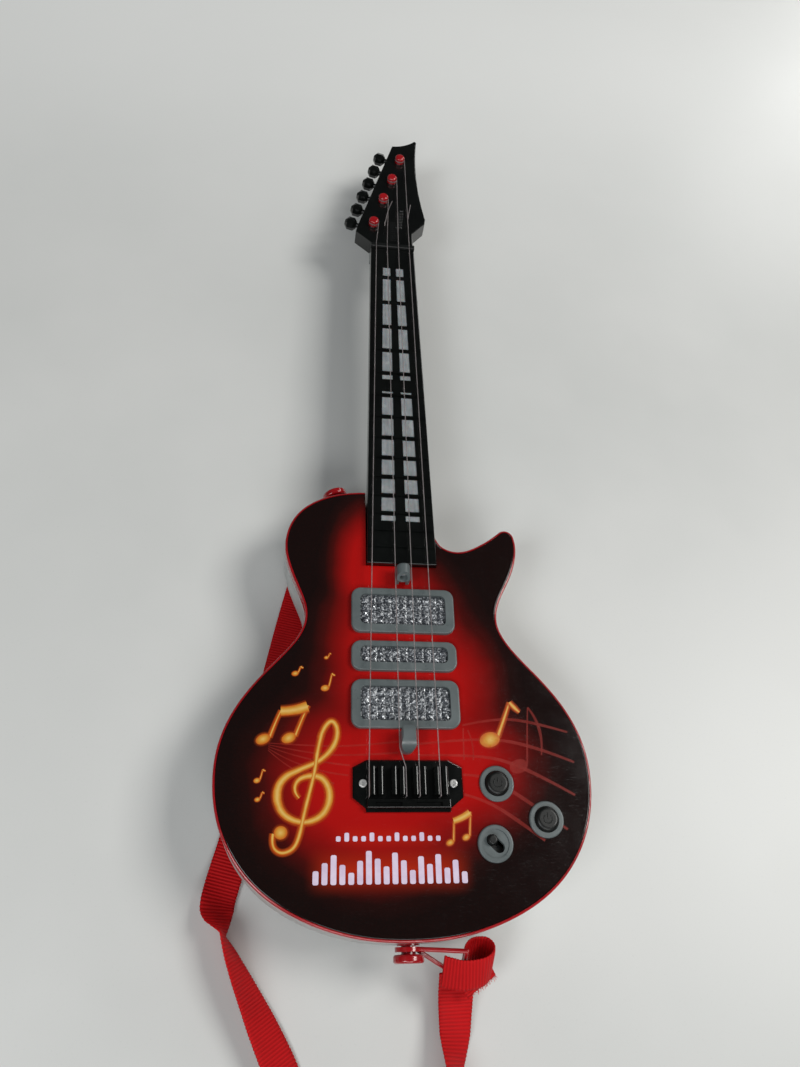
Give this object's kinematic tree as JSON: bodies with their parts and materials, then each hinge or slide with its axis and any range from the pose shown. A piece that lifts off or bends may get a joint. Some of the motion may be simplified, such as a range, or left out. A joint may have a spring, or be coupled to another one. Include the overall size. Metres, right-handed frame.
{
  "type": "toy electric guitar",
  "caption": "Child's electronic guitar with a cutaway sunburst body, lit neck windows, strum sensors, push buttons, a slide switch and a red webbing strap.",
  "frame": {"origin": "on the surface that the back rests on, under the middle of the guitar's length, between the lower strap button and the headstock tip", "axes": "+Z out of the printed face, +Y towards the headstock, +X towards the horn and the controls"},
  "size_m": [0.2202, 0.9051, 0.0579],
  "materials": {
    "red_gloss_plastic": "glossy moulded red",
    "light_grey_plastic": "satin moulded light grey",
    "printed_plate": "glossy printed sunburst, red centre to near-black edge",
    "black_gloss_plastic": "glossy moulded black",
    "black_matte_plastic": "satin moulded black",
    "grey_plastic": "satin silver-grey paint",
    "silver_lens": "faceted translucent silver",
    "led_lens": "clear epoxy",
    "circuit_board": "green solder mask",
    "steel": "nickel-plated steel",
    "string_steel": "plain steel wire",
    "speaker_paper": "pressed paper cone",
    "magnet_iron": "ferrite magnet",
    "battery_jacket": "plain printed cell jacket, no marks",
    "red_webbing": "ribbed woven nylon"
  },
  "bodies": {
    "root": {"front_shell": "red_gloss_plastic", "back_shell": "light_grey_plastic", "face_plate": "printed_plate", "case_screws": "steel", "neck_back": "black_gloss_plastic", "headstock_cover": "black_gloss_plastic", "fingerboard": "black_gloss_plastic", "neck_lens_left": "silver_lens", "neck_lens_right": "silver_lens", "neck_light_board": "circuit_board", "neck_leds": "led_lens", "nut": "black_matte_plastic", "string_posts": "red_gloss_plastic", "pickup_light_board": "circuit_board", "pickup_leds": "led_lens", "bridge_plate": "black_gloss_plastic", "bridge_saddles": "black_gloss_plastic", "bridge_screws": "steel", "neck_sensor_post": "grey_plastic", "bridge_sensor_post": "grey_plastic", "infrared_emitter": "led_lens", "infrared_receiver": "black_matte_plastic", "switch_bezel": "grey_plastic", "main_board": "circuit_board", "tact_switches": "black_matte_plastic", "slide_switch": "steel", "speaker_frame": "steel", "speaker_cone": "speaker_paper", "speaker_magnet": "magnet_iron", "batteries": "battery_jacket", "battery_contacts": "steel", "lower_strap_button": "red_gloss_plastic", "upper_strap_button": "red_gloss_plastic", "strap_button_screws": "steel", "lower_strap_clip": "red_gloss_plastic", "upper_strap_clip": "red_gloss_plastic", "strap": "red_webbing", "string_1": "string_steel", "string_2": "string_steel", "string_3": "string_steel", "string_4": "string_steel", "neck_pickup_frame": "grey_plastic", "neck_pickup_lens": "silver_lens", "middle_pickup_frame": "grey_plastic", "middle_pickup_lens": "silver_lens", "bridge_pickup_frame": "grey_plastic", "bridge_pickup_lens": "silver_lens", "upper_button_bezel": "grey_plastic", "right_button_bezel": "grey_plastic"},
    "tuner_1": {"tuner_knob_1": "black_gloss_plastic"},
    "tuner_2": {"tuner_knob_2": "black_gloss_plastic"},
    "tuner_3": {"tuner_knob_3": "black_gloss_plastic"},
    "tuner_4": {"tuner_knob_4": "black_gloss_plastic"},
    "tuner_5": {"tuner_knob_5": "black_gloss_plastic"},
    "tuner_6": {"tuner_knob_6": "black_gloss_plastic"},
    "upper_button": {"upper_button": "black_matte_plastic"},
    "right_button": {"right_button": "black_matte_plastic"},
    "slide_knob": {"slide_knob": "black_matte_plastic"},
    "battery_door": {"battery_door": "light_grey_plastic", "battery_door_screw": "steel"}
  },
  "joints": [
    {"name": "tuner_1_turn", "type": "hinge", "parent": "root", "child": "tuner_1", "pos_m": [-0.00114, 0.30678, 0.0395], "axis": [-0.9593, 0.2824, 0], "continuous": true},
    {"name": "tuner_2_turn", "type": "hinge", "parent": "root", "child": "tuner_2", "pos_m": [-0.00621, 0.28956, 0.0395], "axis": [-0.9593, 0.2824, 0], "continuous": true},
    {"name": "tuner_3_turn", "type": "hinge", "parent": "root", "child": "tuner_3", "pos_m": [-0.01128, 0.27234, 0.0395], "axis": [-0.9593, 0.2824, 0], "continuous": true},
    {"name": "tuner_4_turn", "type": "hinge", "parent": "root", "child": "tuner_4", "pos_m": [-0.01634, 0.25512, 0.0395], "axis": [-0.9593, 0.2824, 0], "continuous": true},
    {"name": "tuner_5_turn", "type": "hinge", "parent": "root", "child": "tuner_5", "pos_m": [-0.02141, 0.2379, 0.0395], "axis": [-0.9593, 0.2824, 0], "continuous": true},
    {"name": "tuner_6_turn", "type": "hinge", "parent": "root", "child": "tuner_6", "pos_m": [-0.02648, 0.22068, 0.0395], "axis": [-0.9593, 0.2824, 0], "continuous": true},
    {"name": "upper_button_press", "type": "slide", "parent": "root", "child": "upper_button", "axis": [0, 0, -1], "range_m": [0, 0.0015], "stiffness_N_per_m": 600, "springref_m": -0.0005},
    {"name": "right_button_press", "type": "slide", "parent": "root", "child": "right_button", "axis": [0, 0, -1], "range_m": [0, 0.0015], "stiffness_N_per_m": 600, "springref_m": -0.0005},
    {"name": "power_slide", "type": "slide", "parent": "root", "child": "slide_knob", "axis": [0.7254, -0.6884, 0], "range_m": [0, 0.0056]},
    {"name": "battery_door_lift", "type": "slide", "parent": "root", "child": "battery_door", "axis": [0, 0, -1], "range_m": [0, 0.03]}
  ]
}
